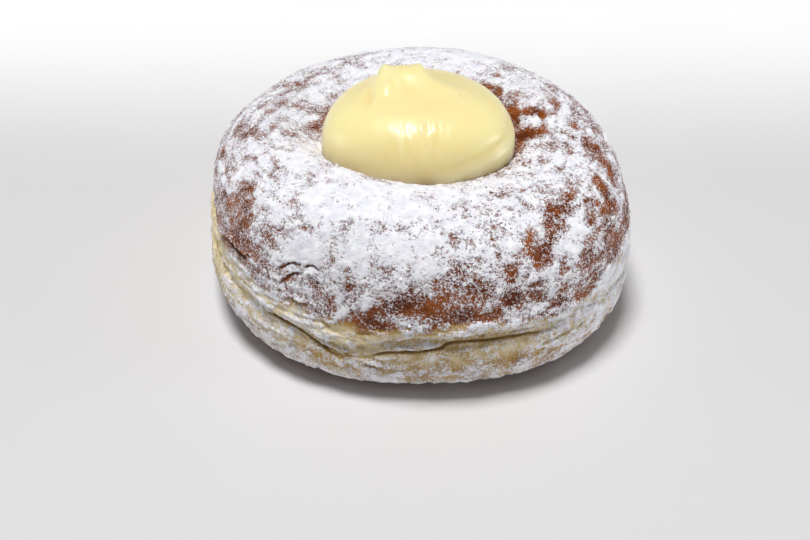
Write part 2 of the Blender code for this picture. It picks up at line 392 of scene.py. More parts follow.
def refinedPiece(node, name, levels):
    # A merged copy of a CAD node, its triangles paired to four-sided faces and then divided
    form = bmesh.new()
    form.from_mesh(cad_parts[node].data)
    bmesh.ops.remove_doubles(form, verts=form.verts, dist=refining["mergeWithin"])
    bmesh.ops.join_triangles(form, faces=form.faces, **refining["pairing"])
    mesh = bpy.data.meshes.new(name)
    form.to_mesh(mesh)
    form.free()
    piece = addObject(name, mesh)
    finer = piece.modifiers.new("finer", "SUBSURF")
    finer.levels = levels
    finer.render_levels = levels
    plainMesh(piece).shade_smooth()
    return piece


def divideWhere(mesh, chosen):
    # Divides once more the faces whose corners are all chosen.
    form = bmesh.new()
    form.from_mesh(mesh)
    form.verts.ensure_lookup_table()
    near = {form.verts[index] for index in np.nonzero(chosen)[0]}
    edges = [edge for edge in form.edges if edge.verts[0] in near and edge.verts[1] in near]
    bmesh.ops.subdivide_edges(form, edges=edges, cuts=1, smooth=0.0, use_grid_fill=True)
    form.to_mesh(mesh)
    form.free()
    mesh.shade_smooth()


def surfaceOf(mesh):
    corners = [vertex.co for vertex in mesh.vertices]
    return BVHTree.FromPolygons(corners, [tuple(face.vertices) for face in mesh.polygons])


def readPlaces(mesh):
    places = np.empty(len(mesh.vertices) * 3)
    normals = np.empty(len(mesh.vertices) * 3)
    mesh.vertices.foreach_get("co", places)
    mesh.vertices.foreach_get("normal", normals)
    return places.reshape(-1, 3), normals.reshape(-1, 3)


def writePlaces(mesh, places):
    mesh.vertices.foreach_set("co", places.ravel())
    mesh.update()


def readValues(mesh, name):
    values = np.empty(len(mesh.vertices), np.float32)
    mesh.attributes[name].data.foreach_get("value", values)
    return values


def writeValues(mesh, name, values):
    mask = mesh.attributes.new(name, "FLOAT", "POINT")
    mask.data.foreach_set("value", np.asarray(values, np.float32))


def ease(low, high, values):
    share = np.clip((values - low) / (high - low), 0.0, 1.0)
    return share * share * (3.0 - 2.0 * share)


def bell(values, width):
    return np.exp(-((values / width) ** 2))


def noiseAt(places, size):
    # Perlin noise, from -1 to 1. The size is a length, or three for a grain that is longer one way.
    return np.array([noise.noise(place) for place in (places / size).tolist()])


def smoothLine(points, steps=6):
    # A Catmull-Rom curve through the points
    ends = np.vstack([2 * points[0] - points[1], points, 2 * points[-1] - points[-2]])
    line = []
    for before, start, end, after in zip(ends, ends[1:], ends[2:], ends[3:]):
        for share in np.arange(steps) / steps:
            bend = (2 * before - 5 * start + 4 * end - after) * share**2
            bend = bend + (3 * start - before - 3 * end + after) * share**3
            line.append(0.5 * (2 * start + (end - before) * share + bend))
    return np.array(line + [points[-1]])


def alongLine(places, normals, line, reach=4.0 * mm):
    # Each place's distance from the line, negative below it, and the share of the line passed there
    away = np.full(len(places), 1.0)
    passed = np.zeros(len(places))
    within = (places > line.min(0) - reach) & (places < line.max(0) + reach)
    near = np.nonzero(np.all(within, axis=1))[0]
    upward = np.array((0.0, 0.0, 1.0)) - normals[near] * normals[near, 2:3]
    closest = np.full(len(near), 1.0)
    for index, (start, end) in enumerate(zip(line, line[1:])):
        along = end - start
        share = np.clip((places[near] - start) @ along / (along @ along), 0.0, 1.0)
        gap = places[near] - start - share[:, None] * along
        distance = np.linalg.norm(gap, axis=1)
        closer = distance < closest
        closest[closer] = distance[closer]
        side = np.where(np.sum(gap * upward, axis=1) < 0.0, -1.0, 1.0)
        away[near[closer]] = (distance * side)[closer]
        passed[near[closer]] = (index + share[closer]) / (len(line) - 1)
    return away, passed


# How an oval spot ends: the most that it may stretch on a slanted place, its edge, and its depth
spots = {"steepest": -0.12, "edge": 1.5, "depth": 4.0 * mm}


def spotShares(surface, places, spot):
    # How far each place lies within an oval spot that is given as pixels: 1 in its middle, 0 outside
    x, y, halfWide, halfHigh, turn = spot
    middle, normal = surface.ray_cast(view["place"], sightThrough((x, y)))[:2]
    if middle is None:
        return np.zeros(len(places))
    angle = math.radians(turn)
    across = (halfWide * math.cos(angle), halfWide * math.sin(angle))
    down = (-halfHigh * math.sin(angle), halfHigh * math.cos(angle))
    sides = []
    for shift in (across, down):
        sight = sightThrough((x + shift[0], y + shift[1]))
        reach = (middle - view["place"]).dot(normal) / min(sight.dot(normal), spots["steepest"])
        sides.append(np.array(view["place"] + sight * reach - middle))
    gap = places - np.array(middle)
    basis = np.linalg.pinv(np.array(sides))
    spread = np.sum((gap @ basis) ** 2, axis=1)
    return np.exp(-(spread ** spots["edge"])) * bell(gap @ np.array(normal), spots["depth"])


# Sugared dough: its forms are placed by pixels of the photograph, and by direction and height elsewhere.
# Heights and depths without a unit are in mm. A fade gives where something starts and where it is full.
dough = {
    "middle": np.array((-0.82, -1.005)) * mm,
    "outside": 0.09,
    "creaseBack": (-30, 222, 4),
    "levels": 2,
    "fineWithin": 1.8 * mm,
    # Where the brown crust ends and the pale belt begins: direction and height
    "crustEdge": (
        (-180, 31), (-168, 29), (-159, 25), (-141, 26), (-135, 23.5), (-121, 24), (-115, 23.2),
        (-104, 22.2), (-97, 22.8), (-89, 23.6), (-78, 23.9), (-63, 22.5), (-52, 22), (-41, 22),
        (-34, 25), (-20, 26), (10, 25), (45, 27), (80, 24), (110, 25.5), (140, 24), (165, 28),
    ),
    # The crease right round: direction and height
    "crease": (
        (-180, 17.5), (-154, 17.6), (-141, 16.6), (-125, 16), (-110, 13.9), (-90, 18.2), (-72, 18.5),
        (-53, 17.8), (-38, 16.6), (-10, 15.6), (25, 17.2), (66, 15.4), (95, 16.8), (140, 15.2),
    ),
    # How much more or less sugar the flank holds: direction and change
    "flankSugar": (
        (-180, -0.42), (-160, -0.40), (-142, -0.10), (-115, 0.02), (-100, -0.10), (-85, -0.24),
        (-65, -0.26), (-45, -0.22), (-20, -0.34), (10, -0.36), (60, -0.14), (120, -0.10), (160, -0.3),
    ),
    # Sugar on the belt: direction and amount
    "beltSugar": (
        (-180, 0.12), (-160, 0.20), (-145, 0.66), (-125, 0.62), (-105, 0.28), (-85, 0.24), (-62, 0.38),
        (-42, 0.92), (-20, 1.00), (20, 0.60), (100, 0.55), (150, 0.45),
    ),
    # The thinnest sugar on the crust: direction and amount
    "thinSugar": ((-180, 0.44), (-145, 0.36), (-115, 0.04), (25, 0.04), (60, 0.28), (120, 0.42)),
    # Ragged borders: sizes of their noise and how far it moves them
    "raggedSize": 4.0 * mm,
    "raggedEdge": 1.6,
    "raggedSkirt": 1.5,
    "raggedBrown": 2.0,
    "wanderSize": 3.2 * mm,
    "wanderShifts": (0.1, 0.2, 0.3),
    "spotWander": 1.5 * mm,
    "lineWander": 0.25 * mm,
    # Fades by height above the crust's edge or above the floor
    "crustFade": (-4.5, 1.2),
    "beltFade": (-2.0, 1.0),
    "skirtFade": (8.0, 13.0),
    "brownSkirtFade": (17.0, 10.0),
    "floorFade": (1.0, 3.0),
    "flankFade": (39.0, 24.0),
    "undersideFade": (4.0, 1.8),
    "undersideTurn": (-0.55, -0.80),
    "restFade": (0.2, 1.6),
    "looseFade": (0.6, 1.6),
    # Brown on the skirt and tan on the belt: amount, and how much it wanders
    "skirtBrown": (0.44, 0.3),
    "frontTan": (0.26, 0.2),
    # Where on the ring something is strongest, and how wide: directions
    "tanAt": (-76.0, 26.0),
    "frontAt": (-90.0, 70.0),
    "streaksAt": (-80.0, 40.0),
    "contrastAt": (-72.0, 62.0),
    "bareWellAt": (10.0, 80.0),
    # Amounts of sugar
    "topSugar": 0.98,
    "frontSugar": 0.20,
    "flankLoss": 0.42,
    "sidesLoss": 0.17,
    "skirtSugar": 0.66,
    "footSugar": 0.4,
    "footFade": (7.0, 3.0),
    "keptBelow": 0.4,
    "wellLoss": 0.8,
    "wellFade": (27.0, 19.0),
    "wellHeight": (24.0, 30.0),
    "wellShares": (0.4, 0.6),
    "undersideLoss": 1.1,
    # Wrinkles and streaks: how many round the ring, their step in mm, and what they do to the sugar
    "wrinklesRound": 4.5,
    "wrinkleStep": 1.3,
    "wrinkleSides": (0.25, 0.75),
    "wrinkleBack": (0.3, 0.7),
    "wrinklePower": 1.5,
    "wrinkleFade": (18.0, 28.0),
    "wrinkleSugar": 0.55,
    "wrinkleDepth": 0.26,
    "streaksRound": 26.0,
    "streakLean": 0.12,
    "streakStep": 7.0,
    "streakSugar": 0.25,
    # Stretched and flaky skin on the belt
    "stretchShare": 0.8,
    "stretchLean": 0.02,
    "stretchSize": np.array((5.0, 0.9, 9.0)),
    "flakeSize": np.array((1.6, 1.6, 1.1)) * mm,
    "flakeShift": 0.4,
    "beltDepths": (0.34, 0.16),
    "beltSugars": (0.55, 0.35),
    "skirtCalm": 0.5,
    # How even the sugar is: least, more at the front below the crest, and less on the belt
    "contrast": (0.70, 0.56),
    "contrastFade": (47.0, 41.0),
    "beltContrast": 0.15,
    # Scored and folded lines: pixels, then half width, depth, height of the lip above, and the brown crust
    # and painted shade in it.
    # The crease at the back has the same four numbers.
    "lines": (
        (((262, 308), (280, 318), (300, 329), (318, 342), (332, 353), (342, 359)), 0.24, 0.34, 0.0, 1.0),
        (((322, 345), (334, 351), (346, 360)), 0.35, 0.4, 0.15, 0.6),
        (
            (
                (357, 359), (370, 356), (385, 353), (402, 352), (420, 352), (433, 350), (442, 348),
                (447, 344), (457, 342), (470, 341), (485, 340), (500, 338), (520, 335), (540, 331),
                (556, 327),
            ),
            0.32, 0.55, 0.06, 1.0,
        ),
        (((532, 349), (548, 342), (560, 336), (575, 328), (586, 321)), 0.35, 0.35, 0.08, 0.6),
        (((573, 309), (585, 306), (598, 301)), 0.4, 0.5, 0.25, 0.6),
        (((279, 268), (285, 265), (293, 263), (303, 266)), 0.23, 0.6, 0.25, 1.0),
        (((304, 268), (309, 265), (315, 267), (320, 274)), 0.23, 0.6, 0.25, 1.0),
        (((280, 283), (286, 278), (295, 273), (304, 274)), 0.23, 0.6, 0.25, 1.0),
        (((306, 274), (313, 279), (322, 284)), 0.35, 0.35, 0.2, 0.5),
        (((216, 229), (226, 238), (235, 248), (241, 254), (248, 261)), 0.5, 0.9, 0.5, 0.9),
        (((247, 254), (249, 260), (251, 267)), 0.4, 0.5, 0.2, 0.6),
        (((265, 266), (268, 273), (270, 281)), 0.4, 0.5, 0.2, 0.6),
        (((288, 296), (297, 302), (308, 306)), 0.4, 0.4, 0.2, 0.5),
        (((318, 316), (324, 324), (334, 331), (346, 335), (362, 335), (380, 333)), 0.6, 0.30, 0.1, 0.25),
        (((362, 364), (372, 366), (380, 368)), 0.35, 0.3, 0.1, 0.4),
    ),
    "creaseSizes": (0.5, 0.7, 0.25, 0.7),
    # Oval spots where the sugar is thinner or thicker: pixel, half width, half height, turn, and the change
    "spots": (
        (243, 201, 11, 19, 0, -1.1), (232, 205, 6, 12, 0, -0.7), (264, 205, 4, 6, 0, -0.45),
        (266, 189, 2, 7, 0, -0.35), (247, 182, 8, 6, 0, -0.45), (293, 86, 16, 5, -8, -0.45),
        (283, 103, 5, 4, 0, -0.35), (301, 105, 8, 4, 20, -0.3), (268, 112, 11, 2, -6, -0.3),
        (246, 131, 16, 7, 0, -0.35), (286, 133, 13, 3, 20, -0.4), (317, 129, 6, 8, -25, -0.3),
        (327, 112, 4, 8, 30, -0.3), (331, 95, 10, 3, 12, -0.3), (276, 149, 9, 3, 15, -0.4),
        (254, 157, 12, 2.5, -12, -0.45), (227, 172, 8, 4, -20, -0.45), (222, 158, 5, 10, 20, -0.35),
        (360, 68, 9, 3, 25, -0.4), (347, 62, 5, 4, 0, -0.3), (366, 56, 14, 3, -12, -0.25),
        (326, 173, 3, 2, 20, -0.5), (325, 203, 2, 3, 0, -0.5), (298, 206, 11, 5, 10, -0.35),
        (383, 207, 8, 4, 0, -0.35), (240, 222, 14, 10, 0, -0.5), (241, 246, 19, 7, 38, -0.7),
        (300, 219, 10, 5, 20, -0.4), (306, 229, 7, 4, 20, -0.45), (269, 228, 5, 10, 0, -0.3),
        (330, 224, 3, 6, -30, -0.5), (332, 242, 4, 14, 0, -0.45), (348, 241, 4, 3, 0, -0.5),
        (366, 275, 4, 4, 0, -0.45), (384, 226, 2, 2, 0, -0.4), (386, 243, 10, 3, 0, -0.35),
        (413, 243, 5, 10, 0, -0.4), (388, 258, 6, 3, 0, -0.4), (384, 275, 8, 12, 0, -0.4),
        (402, 270, 10, 8, 0, -0.25), (407, 308, 16, 10, -10, -0.85), (413, 289, 5, 9, 0, -0.65),
        (370, 315, 22, 6, -6, -0.6), (333, 308, 5, 8, 0, -0.45), (376, 290, 6, 4, 0, -0.4),
        (345, 303, 3, 3, 0, -0.4), (316, 287, 9, 6, 30, -0.4), (358, 326, 32, 6, 0, -0.5),
        (514, 114, 5, 9, 0, -0.9), (538, 112, 20, 4, 4, -0.9), (533, 133, 15, 6, -6, -1.1),
        (545, 123, 3, 6, -15, -0.6), (523, 146, 10, 6, -35, -0.6), (498, 92, 5, 4, 0, -0.7),
        (489, 84, 9, 3, 30, -0.6), (497, 77, 5, 3, 0, -0.35), (555, 90, 11, 4, 30, -0.4),
        (556, 103, 8, 5, 20, -0.4), (578, 103, 5, 3, 0, -0.35), (574, 126, 11, 5, 25, -0.4),
        (566, 134, 11, 3, 25, -0.45), (555, 148, 7, 3, 0, -0.4), (572, 153, 6, 2, 10, -0.5),
        (591, 146, 15, 6, 40, -0.7), (607, 167, 17, 5, 60, -0.8), (601, 186, 18, 5, 60, -1.0),
        (615, 180, 10, 4, 65, -0.45), (577, 183, 13, 4, 5, -0.5), (568, 195, 10, 6, -15, -0.5),
        (527, 163, 8, 3, -30, -0.4), (552, 171, 4, 3, 0, -0.5), (530, 178, 5, 3, 0, -0.35),
        (546, 187, 9, 3, 40, -0.4), (524, 193, 3, 3, 0, -0.4), (480, 187, 6, 2, 25, -0.4),
        (496, 195, 9, 2, 15, -0.45), (481, 197, 5, 2, 0, -0.35), (512, 209, 18, 3, 8, -0.65),
        (548, 207, 30, 7, 0, -0.5), (592, 205, 12, 6, 0, -0.6), (609, 207, 8, 8, 0, -0.9),
        (470, 242, 5, 3, 0, -0.6), (482, 238, 22, 8, 0, -0.4), (499, 256, 6, 3, -30, -0.55),
        (527, 232, 7, 12, 0, -0.8), (553, 226, 13, 14, 0, -0.7), (537, 255, 12, 17, -20, -1.2),
        (550, 247, 6, 4, 20, -0.6), (518, 255, 6, 5, 0, -0.45), (601, 215, 13, 6, 0, -0.5),
        (586, 240, 7, 14, 0, -0.3), (590, 253, 8, 2.5, 0, -0.5), (504, 270, 12, 7, 20, -0.5),
        (516, 273, 4, 6, 0, -0.5), (486, 290, 8, 19, 8, -0.6), (506, 298, 14, 5, 0, -0.5),
        (454, 290, 28, 22, 0, -0.5), (438, 310, 14, 12, 0, -0.5), (424, 302, 7, 14, 0, -0.6),
        (466, 315, 17, 6, 0, -0.5), (490, 316, 12, 6, 0, -0.4), (533, 292, 8, 4, 0, -0.4),
        (545, 292, 6, 7, 0, -0.35), (561, 290, 3, 3, 0, -0.45), (577, 299, 5, 7, 20, -0.4),
        (571, 262, 14, 10, 0, -0.2), (610, 240, 5, 14, -10, -0.3), (455, 55, 45, 9, 0, 0.4),
        (385, 198, 75, 14, 0, 0.2), (310, 152, 20, 8, 0, 0.25), (285, 139, 13, 3.5, 15, 0.3),
        (290, 117, 13, 5, 12, 0.25), (312, 89, 5, 10, -30, 0.3), (264, 100, 10, 5, -20, 0.2),
        (380, 236, 60, 28, 0, 0.16), (305, 250, 30, 12, 0, 0.2), (297, 257, 22, 6, 5, 0.3),
        (341, 311, 10, 7, 0, 0.4), (372, 304, 10, 5, 0, 0.25), (402, 285, 4, 5, 0, 0.35),
        (297, 287, 10, 6, 10, 0.4), (307, 318, 5, 10, -25, 0.5), (412, 330, 16, 6, 0, 0.55),
        (362, 343, 14, 3, -5, 0.4), (395, 348, 14, 3, 0, 0.5), (531, 122, 10, 3.5, 0, 0.4),
        (568, 140, 16, 4, 20, 0.3), (575, 164, 22, 6, 8, 0.1), (613, 192, 16, 2.5, 62, 0.45),
        (535, 100, 14, 5, 0, 0.2), (541, 238, 5, 4, 0, 0.6), (556, 263, 8, 14, -15, 0.4),
        (529, 276, 17, 7, -12, 0.45), (575, 229, 7, 6, 0, 0.4), (465, 252, 20, 5, 0, 0.3),
        (555, 290, 9, 7, 0, 0.35), (541, 307, 22, 6, -10, 0.5), (513, 314, 12, 5, 10, 0.4),
        (476, 329, 17, 6, -8, 0.5), (520, 326, 16, 5, -5, 0.4), (430, 346, 14, 4, -8, 0.6),
        (588, 309, 16, 3, -12, 0.4),
    ),
    "patches": {
        "Patch Size": 5.2 * mm,
        "Patch Share": 3.0,
        "Cake Depth": 0.30 * mm,
        "Lump Size": 1.6 * mm,
        "Lump Depth": 0.32 * mm,
        "Grain Size": 0.8 * mm,
        "Grain Depth": 0.18 * mm,
    },
}

# How a line's lip, the brown under it, the brown crust and painted shade in it and the bare skin round it
# are spread, in half widths of the line, apart from smoothWithin, which is in mm
lineSpread = {
    "endFade": 0.14,
    "lipAt": 1.9,
    "lipWide": 0.9,
    "underAt": -0.6,
    "underWide": 1.9,
    "creaseBrownAndShadeWide": 0.8,
    "smoothWithin": 0.7,
    "bareWide": 1.1,
    "bareLoss": 1.1,
    "rimAt": 2.2,
    "rimSugar": 0.12,
    "underBrown": 0.42,
    "looseLoss": 0.6,
}


def ringValue(knots, directions):
    given = np.array(knots)
    return np.interp(directions, given[:, 0], given[:, 1], period=360.0)


def roundDough(places):
    # Direction in degrees and distance from the dough's own middle
    across = places[:, :2] - dough["middle"]
    return np.degrees(np.arctan2(across[:, 1], across[:, 0])), np.hypot(across[:, 0], across[:, 1])


def findCrease(surface):
    # The back of the crease, found from outside at each direction
    line = []
    for direction in range(*dough["creaseBack"]):
        height = ringValue(dough["crease"], direction) * mm
        out = Vector((math.cos(math.radians(direction)), math.sin(math.radians(direction)), 0.0))
        start = Vector((*dough["middle"], height)) + out * dough["outside"]
        line.append(tuple(surface.ray_cast(start, -out)[0]))
    return np.array(line)


def at(values, strongest, width):
    # 1 at the strongest value, and less on both sides of it
    return bell(values - strongest, width)


def makeWrinkles(direction, height, radius):
    # Fine wrinkles that run round the sides and the back, and streaks that run down the flank
    use = dough
    angle = np.radians(direction)
    least, more = use["wrinkleSides"]
    backLeast, backMore = use["wrinkleBack"]
    sideways = least + more * np.clip(backLeast + backMore * np.sin(angle), 0.0, 1.0)
    sideways = np.maximum(sideways, np.abs(np.cos(angle)) ** use["wrinklePower"])
    sideways *= ease(*use["wrinkleFade"], height)
    across = radius - height
    turns = (np.cos(angle) * use["wrinklesRound"], np.sin(angle) * use["wrinklesRound"])
    wrinkle = noiseAt(np.stack([*turns, across / use["wrinkleStep"]], axis=1), 1.0) * sideways
    down = angle * use["streaksRound"] + height * use["streakLean"]
    streak = noiseAt(np.stack([down, across / use["streakStep"], 0.0 * angle], axis=1), 1.0)
    return wrinkle, streak


def makeDough():
    use = dough
    piece = refinedPiece("dough", "sugared_dough", use["levels"])
    mesh = piece.data
    surface = surfaceOf(mesh)
    lines = [(findLine(surface, pixels), *sizes) for pixels, *sizes in use["lines"]]
    lines.append((findCrease(surface), *use["creaseSizes"]))

    places, normals = readPlaces(mesh)
    nearest = np.min([np.abs(alongLine(places, normals, line[0])[0]) for line in lines], axis=0)
    divideWhere(mesh, nearest < use["fineWithin"])

    places, normals = readPlaces(mesh)
    direction, radius = roundDough(places)
    radius = radius / mm
    height = places[:, 2] / mm
    ragged = noiseAt(places, use["raggedSize"])
    wander = np.stack([noiseAt(places + shift, use["wanderSize"]) for shift in use["wanderShifts"]], axis=1)

    # Brown crust above, pale belt and skirt below
    aboveEdge = height - ringValue(use["crustEdge"], direction) + use["raggedEdge"] * ragged
    crust = ease(*use["crustFade"], aboveEdge)
    belt = 1.0 - ease(*use["beltFade"], aboveEdge)
    skirt = 1.0 - ease(*use["skirtFade"], height + use["raggedSkirt"] * ragged)
    brownSkirt = ease(*use["brownSkirtFade"], height + use["raggedBrown"] * ragged)
    brownSkirt *= ease(*use["floorFade"], height)
    amount, wandering = use["skirtBrown"]
    crust = np.maximum(crust, brownSkirt * (amount + wandering * wander[:, 0]))
    amount, wandering = use["frontTan"]
    crust = np.maximum(crust, belt * (amount + wandering * wander[:, 1]) * at(direction, *use["tanAt"]))

    # Sugar: caked on top, thinner down the sides and on the belt
    flank = ease(*use["flankFade"], height)
    wrinkle, streak = makeWrinkles(direction, height, radius)
    cover = use["topSugar"] + use["frontSugar"] * at(direction, *use["frontAt"]) - use["flankLoss"] * flank
    cover += flank * ringValue(use["flankSugar"], direction)
    streak *= flank * at(direction, *use["streaksAt"])
    skin = use["wrinkleSugar"] * wrinkle + use["streakSugar"] * streak
    cover += skin - use["sidesLoss"] * np.cos(np.radians(direction)) ** 2
    onBelt = ringValue(use["beltSugar"], direction)
    onBelt = onBelt + skirt * (use["skirtSugar"] - onBelt)
    cover = cover * (1.0 - belt) + belt * onBelt + use["footSugar"] * ease(*use["footFade"], height)
    for *spot, change in use["spots"]:
        cover += change * spotShares(surface, places + wander * use["spotWander"], spot)
    thinnest = ringValue(use["thinSugar"], direction) * (1.0 - belt)
    cover = np.maximum(cover, thinnest + use["keptBelow"] * np.minimum(cover, 0.0))
    least, more = use["wellShares"]
    inWell = ease(*use["wellFade"], radius) * ease(*use["wellHeight"], height)
    inWell *= least + more * at(direction, *use["bareWellAt"])
    underneath = ease(*use["undersideTurn"], normals[:, 2]) * ease(*use["undersideFade"], height)
    cover -= use["wellLoss"] * inWell + use["undersideLoss"] * underneath
    crust = np.maximum(crust, underneath)

    # Stretched and flaky skin on the belt
    along = [direction * use["stretchShare"], height + use["stretchLean"] * direction, radius]
    stretched = noiseAt(np.stack(along, axis=1), use["stretchSize"])
    flaky = noiseAt(places + use["flakeShift"], use["flakeSize"])
    first, second = use["beltDepths"]
    lift = (first * stretched + second * flaky) * belt * (1.0 - use["skirtCalm"] * skirt)
    lift += use["wrinkleDepth"] * wrinkle
    first, second = use["beltSugars"]
    cover += (first * stretched + second * flaky) * belt

    # The scored lines, each with a lip above it, brown crust and painted shade in it and bare skin round it
    spread = lineSpread
    hollow = np.zeros(len(places))
    smooth = np.zeros(len(places))
    for line, halfWidth, depth, lip, brownAndShade in lines:
        away, passed = alongLine(places + wander * use["lineWander"], normals, line)
        fade = ease(0.0, spread["endFade"], passed) * ease(1.0, 1.0 - spread["endFade"], passed)
        away = away / mm
        lift -= depth * bell(away, halfWidth) * fade
        lift += lip * bell(away - spread["lipAt"] * halfWidth, spread["lipWide"] * halfWidth) * fade
        under = bell(away - spread["underAt"] * halfWidth, spread["underWide"] * halfWidth) * fade
        # The dark in each line is partly brown crust and partly painted shade
        hollow = np.maximum(hollow, brownAndShade * bell(away, spread["creaseBrownAndShadeWide"] * halfWidth) * fade)
        smooth = np.maximum(smooth, brownAndShade * bell(away, spread["smoothWithin"]) * fade)
        cover -= spread["bareLoss"] * brownAndShade * bell(away, spread["bareWide"] * halfWidth) * fade
        rim = bell(away - spread["rimAt"] * halfWidth, spread["bareWide"] * halfWidth)
        cover += spread["rimSugar"] * rim * fade
        crust = np.maximum(crust, spread["underBrown"] * brownAndShade * under)
    lift *= ease(*use["restFade"], height)
    writePlaces(mesh, places + normals * (lift * mm)[:, None])

    least, more = use["contrast"]
    contrast = least + more * at(direction, *use["contrastAt"]) * ease(*use["contrastFade"], height)
    loose = (1.0 - inWell) * ease(*use["looseFade"], height) * (1.0 - hollow)
    writeValues(mesh, "crust", crust)
    writeValues(mesh, "hollow", hollow)
    writeValues(mesh, "cover", cover)
    writeValues(mesh, "patchy", contrast * (1.0 - use["beltContrast"] * belt))
    writeValues(mesh, "belt", belt)
    writeValues(mesh, "loose", loose * (1.0 - spread["looseLoss"] * smooth))
    return piece


# How the caked sugar follows the cover: ranges of sugar, and the least and most of each
reliefRanges = {
    "patchesByCover": (0.1, 0.7, 0.4, 1.0),
    "cakeBySugar": (0.20, 1.05),
    "roughBySugar": (0.0, 0.9, 0.5, 2.4),
    "patchRoughness": 0.9,
    "lumpRoughness": 0.55,
}


def makeReliefTree():
    # Patches of caked sugar, its lumps and its grain, raised from the skin of the dough
    use = reliefRanges
    inputs = [("Geometry", "NodeSocketGeometry", None)]
    inputs += [(name, "NodeSocketFloat", 0.0) for name in dough["patches"]]
    inputs += [("Finish", "NodeSocketMaterial", None)]
    outputs = [("Geometry", "NodeSocketGeometry")]
    tree, given, end = newTree("doughRelief", "GeometryNodeTree", inputs, outputs)
    place = addNode(tree, "GeometryNodeInputPosition").outputs[0]
    normal = addNode(tree, "GeometryNodeInputNormal").outputs[0]

    def swing(size, share, detail, roughness):
        centred = calc(tree, "SUBTRACT", noiseOf(tree, place, given[size], detail, roughness), 0.5)
        return calc(tree, "MULTIPLY", centred, given[share])

    # Where the crust is nearly bare, only fine dust lies on it.
    patches = swing("Patch Size", "Patch Share", 2.0, use["patchRoughness"])
    shown = easeRange(tree, readNamed(tree, "cover"), *use["patchesByCover"])
    patches = calc(tree, "MULTIPLY", patches, shown)
    sugar = calc(tree, "MULTIPLY_ADD", patches, readNamed(tree, "patchy"), readNamed(tree, "cover"))
    stored = addNode(
        tree,
        "GeometryNodeStoreNamedAttribute",
        {"Geometry": given["Geometry"], "Name": "sugar", "Value": sugar},
        data_type="FLOAT",
        domain="POINT",
    ).outputs[0]
    cake = calc(tree, "MULTIPLY", easeRange(tree, sugar, *use["cakeBySugar"]), given["Cake Depth"])
    lumps = swing("Lump Size", "Lump Depth", 2.0, use["lumpRoughness"])
    grains = swing("Grain Size", "Grain Depth", 0.0, use["lumpRoughness"])
    rough = calc(tree, "ADD", lumps, grains)
    rough = calc(tree, "MULTIPLY", rough, easeRange(tree, sugar, *use["roughBySugar"]))
    rise = calc(tree, "MULTIPLY", calc(tree, "ADD", cake, rough), readNamed(tree, "loose"))
    endTree(tree, end, moveBy(tree, stored, scaled(tree, normal, rise)), given["Finish"])
    return tree


# Loose sugar on the dough: one piece for each size of grain
looseSugar = {
    "sugar_specks": {
        "Density": 1.9e6,
        "Mask": "specks",
        "Smallest": 0.05 * mm,
        "Largest": 0.13 * mm,
        "Detail": 1,
        "Lift": 0.3,
        "Roughen": 0.05 * mm,
        "Seed": 4,
    },
    "sugar_grains": {
        "Density": 0.60e6,
        "Mask": "grains",
        "Smallest": 0.08 * mm,
        "Largest": 0.20 * mm,
        "Detail": 1,
        "Lift": 0.1,
        "Roughen": 0.10 * mm,
        "Seed": 9,
    },
    "sugar_clumps": {
        "Density": 0.20e6,
        "Mask": "clumps",
        "Smallest": 0.15 * mm,
        "Largest": 0.44 * mm,
        "Detail": 2,
        "Lift": -0.2,
        "Roughen": 0.35 * mm,
        "Seed": 6,
    },
}

# Where loose sugar lies: least and most of each size of grain, by the sugar under it
looseWhere = {
    "skirtFade": (7.0, 12.0),
    "dustedAt": (0.45, 0.28),
    "specks": (0.05, 0.9),
    "grains": (0.02, 0.5),
    "beltLoss": 0.85,
    "clumps": 0.2,
    "clumpsFrom": 0.5,
    "clumpsFull": 0.8,
    "beltEarlier": 0.2,
}

# The shape of a grain: how rare the large ones are, how far it is stretched, and the size of its bumps
grainShape = {"rarity": 2.2, "narrowest": 0.7, "widest": 1.3, "bumpSize": 0.5 * mm}


